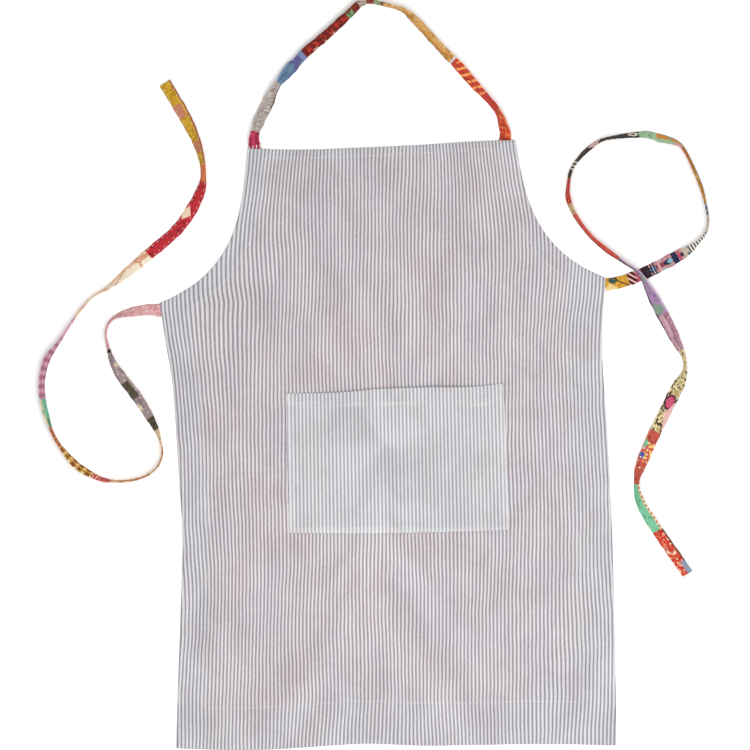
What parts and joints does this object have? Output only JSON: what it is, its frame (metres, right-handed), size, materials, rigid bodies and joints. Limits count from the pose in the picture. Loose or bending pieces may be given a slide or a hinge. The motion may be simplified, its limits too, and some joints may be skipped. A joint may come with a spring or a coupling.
{
  "type": "butcher apron",
  "caption": "Flat-lying bib apron in ticking stripe with a quilted patchwork backing, a patch pocket, a patchwork neck loop and patchwork waist ties.",
  "frame": {"origin": "bottom centre of the apron's body without its straps, on the surface that the apron lies on", "axes": "+Y from the hem towards the neck loop, +X towards the tie on the right as seen from the front, +Z out of the front face"},
  "size_m": [0.9314, 1.0425, 0.0205],
  "materials": {
    "ticking": "blue-grey and white ticking stripe, woven, matt",
    "quilted_backing": "faded patchwork cloth with rows of running stitch, matt",
    "thread": "cotton sewing thread, matt",
    "crimson_print": "faded crimson cloth, hand-stitched",
    "grey_print": "grey and taupe printed cloth",
    "blue_cloth": "washed blue cloth",
    "dark_red_print": "dark red printed cloth",
    "green_cloth": "faded green cloth",
    "cream_print": "cream and black printed cloth",
    "red_and_green_print": "red and green printed cloth",
    "ochre_cloth": "ochre cloth with white stitches",
    "orange_stripe": "red cloth with orange diagonal stripes",
    "orange_print": "orange and red printed cloth",
    "salmon_print": "salmon printed cloth",
    "mauve_dots": "mauve-grey cloth with dots and olive blocks",
    "tan_cloth": "tan cloth",
    "coral_cloth": "coral red cloth",
    "ochre_print": "ochre, black and brown print",
    "mint_cloth": "mint green cloth",
    "pink_plaid": "pink and mauve plaid",
    "cream_veined": "cream and peach cloth with red veins",
    "crimson_cloth": "crimson cloth with white running stitch",
    "mustard_and_rose": "mustard and rose print",
    "ochre_and_teal": "ochre cloth with teal and black print",
    "pink_print": "pink, cream and dark print",
    "navy_cloth": "navy cloth",
    "geometric_print": "red, pink, navy and teal geometric print",
    "beige_dots": "beige cloth with black and white dots",
    "teal_cloth": "teal blue cloth",
    "mustard_cloth": "mustard brown cloth",
    "orange_and_mint": "orange and mint print",
    "black_print": "black cloth with pale rings",
    "red_cloth": "red cloth",
    "purple_cloth": "purple cloth",
    "dusky_mauve": "dusky mauve cloth",
    "beige_veined": "beige cloth with dark veins and a magenta flower",
    "red_and_blue": "red cloth with blue, mint and yellow print",
    "red_flowers": "red cloth with cream flowers"
  },
  "bodies": {
    "apron": {"armhole_facing_left": "ticking", "armhole_facing_right": "ticking", "armhole_left_thread": "thread", "armhole_right_thread": "thread", "backing_left": "quilted_backing", "backing_right": "quilted_backing", "bottom_thread": "thread", "front_panel": "ticking", "pocket_hem_thread": "thread", "pocket_panel": "ticking", "pocket_tack_left": "thread", "pocket_tack_right": "thread", "pocket_thread": "thread", "side_left_thread": "thread", "side_right_thread": "thread", "top_thread": "thread"},
    "neck_loop": {"neck_loop_blue": "blue_cloth", "neck_loop_cream": "cream_print", "neck_loop_crimson": "crimson_print", "neck_loop_dark_red": "dark_red_print", "neck_loop_green": "green_cloth", "neck_loop_grey_print": "grey_print", "neck_loop_ochre": "ochre_cloth", "neck_loop_orange_print": "orange_print", "neck_loop_orange_stripe": "orange_stripe", "neck_loop_red": "dark_red_print", "neck_loop_red_and_green": "red_and_green_print"},
    "left_tie": {"left_tie_coral": "coral_cloth", "left_tie_cream_veined": "cream_veined", "left_tie_crimson": "crimson_cloth", "left_tie_mauve_dots": "mauve_dots", "left_tie_mint": "mint_cloth", "left_tie_mustard_and_rose": "mustard_and_rose", "left_tie_ochre_print": "ochre_print", "left_tie_orange": "tan_cloth", "left_tie_orange_turn": "coral_cloth", "left_tie_pink_plaid": "pink_plaid", "left_tie_salmon": "salmon_print", "left_tie_tan": "tan_cloth"},
    "right_tie": {"right_tie_beige_dots": "beige_dots", "right_tie_beige_veined": "beige_veined", "right_tie_black_print": "black_print", "right_tie_dusky_mauve": "dusky_mauve", "right_tie_geometric": "geometric_print", "right_tie_mint": "mint_cloth", "right_tie_mustard": "mustard_cloth", "right_tie_navy": "navy_cloth", "right_tie_ochre_and_teal": "ochre_and_teal", "right_tie_orange_and_mint": "orange_and_mint", "right_tie_pale_gold": "tan_cloth", "right_tie_pink_print": "pink_print", "right_tie_purple": "purple_cloth", "right_tie_red": "red_cloth", "right_tie_red_and_blue": "red_and_blue", "right_tie_red_flowers": "red_flowers", "right_tie_red_print": "red_cloth", "right_tie_teal": "teal_cloth"}
  },
  "joints": [
    {"name": "neck_loop_fold", "type": "hinge", "parent": "apron", "child": "neck_loop", "pos_m": [0, 0.418, 0.013], "axis": [1, 0, 0], "range_deg": [0, 180]},
    {"name": "left_tie_fold", "type": "hinge", "parent": "apron", "child": "left_tie", "pos_m": [-0.317, 0.187, 0.013], "axis": [0, 1, 0], "range_deg": [0, 180]},
    {"name": "right_tie_fold", "type": "hinge", "parent": "apron", "child": "right_tie", "pos_m": [0.302, 0.223, 0.013], "axis": [0, -1, 0], "range_deg": [0, 180]}
  ]
}
